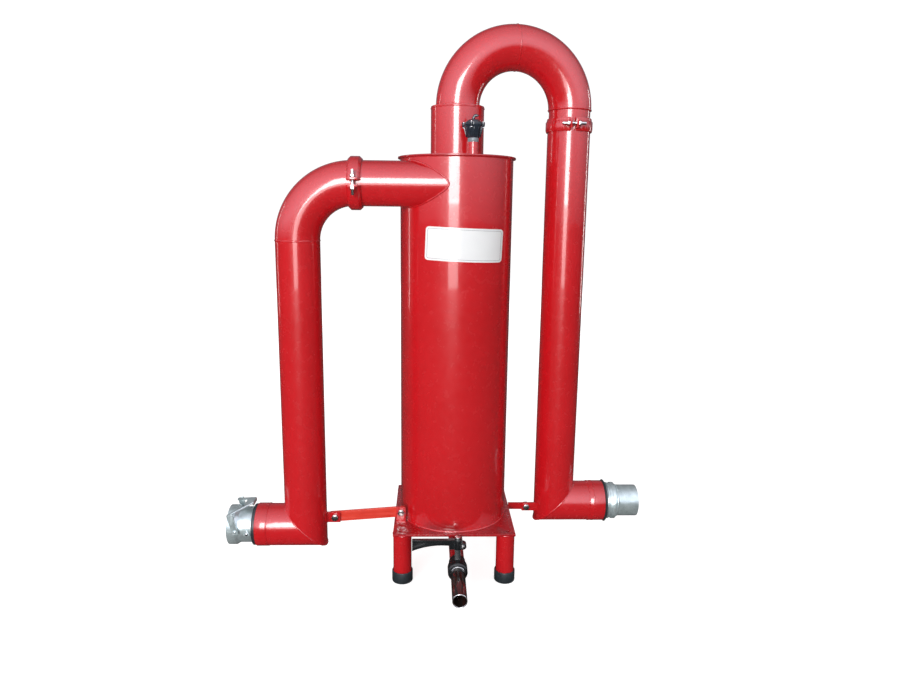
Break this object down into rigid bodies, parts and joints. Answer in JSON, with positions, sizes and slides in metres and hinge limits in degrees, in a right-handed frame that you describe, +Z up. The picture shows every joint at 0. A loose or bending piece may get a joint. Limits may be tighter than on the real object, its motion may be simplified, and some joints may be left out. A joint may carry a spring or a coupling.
{
  "type": "cyclone sand separator",
  "caption": "Upright welded steel cyclone separator on a square base with legs, side inlet riser, overhead outlet bend and riser, drain valve and air valve.",
  "frame": {"origin": "on the ground, under the middle of the whole assembly's bounding box", "axes": "+Z up along the vessel's axis, +X towards the outlet spigot, -Y towards the drain spout (the front)"},
  "size_m": [1.1672, 0.5138, 1.4795],
  "materials": {
    "red_paint": "gloss enamel over welded steel pipe",
    "brace_paint": "gloss enamel, more orange",
    "galvanised_steel": "hot-dip galvanised, satin",
    "bright_zinc": "bright zinc plate",
    "black_rubber": "matt moulded rubber",
    "valve_plastic": "satin black plastic",
    "dark_tube": "dark glossy varnish",
    "air_valve_black": "glossy moulded plastic",
    "air_valve_grey": "satin moulded plastic"
  },
  "bodies": {
    "separator": {"air_valve_body": "air_valve_black", "air_valve_cap": "air_valve_black", "air_valve_collar": "air_valve_grey", "air_valve_nipple": "red_paint", "base_plate": "red_paint", "brace_bolts": "bright_zinc", "drain_pipe": "red_paint", "drain_spout": "dark_tube", "drain_valve_body": "valve_plastic", "foot_caps": "black_rubber", "inlet_brace_bar": "brace_paint", "inlet_brace_pipe_tab": "red_paint", "inlet_brace_plate_tab": "red_paint", "inlet_clamp_band": "red_paint", "inlet_clamp_bolt": "bright_zinc", "inlet_coupling": "galvanised_steel", "inlet_elbow": "red_paint", "inlet_end_ring": "red_paint", "inlet_gasket": "black_rubber", "inlet_pipe": "red_paint", "inlet_riser": "red_paint", "inlet_stub": "red_paint", "leg_back_left": "red_paint", "leg_back_right": "red_paint", "leg_front_left": "red_paint", "leg_front_right": "red_paint", "outlet_bend_fall": "red_paint", "outlet_bend_rise": "red_paint", "outlet_brace_bar": "red_paint", "outlet_brace_pipe_tab": "red_paint", "outlet_clamp_band": "red_paint", "outlet_clamp_bolt": "bright_zinc", "outlet_end_ring": "red_paint", "outlet_flare": "black_rubber", "outlet_neck": "red_paint", "outlet_riser": "red_paint", "outlet_sleeve": "red_paint", "outlet_sleeve_cap": "red_paint", "outlet_spigot": "galvanised_steel", "outlet_stub": "red_paint", "vessel_lid": "red_paint", "vessel_shell": "red_paint"},
    "latch": {"latch_yoke": "galvanised_steel"},
    "lever": {"drain_lever": "valve_plastic", "drain_lever_bolts": "bright_zinc"}
  },
  "joints": [
    {"name": "latch_hinge", "type": "hinge", "parent": "separator", "child": "latch", "pos_m": [-0.55863, -0.00335, 0.145], "axis": [0, 1, 0], "range_deg": [-80, 0]},
    {"name": "lever_turn", "type": "hinge", "parent": "separator", "child": "lever", "pos_m": [0.04247, -0.0975, 0.114], "axis": [0, 0, 1], "range_deg": [0, 90]}
  ]
}
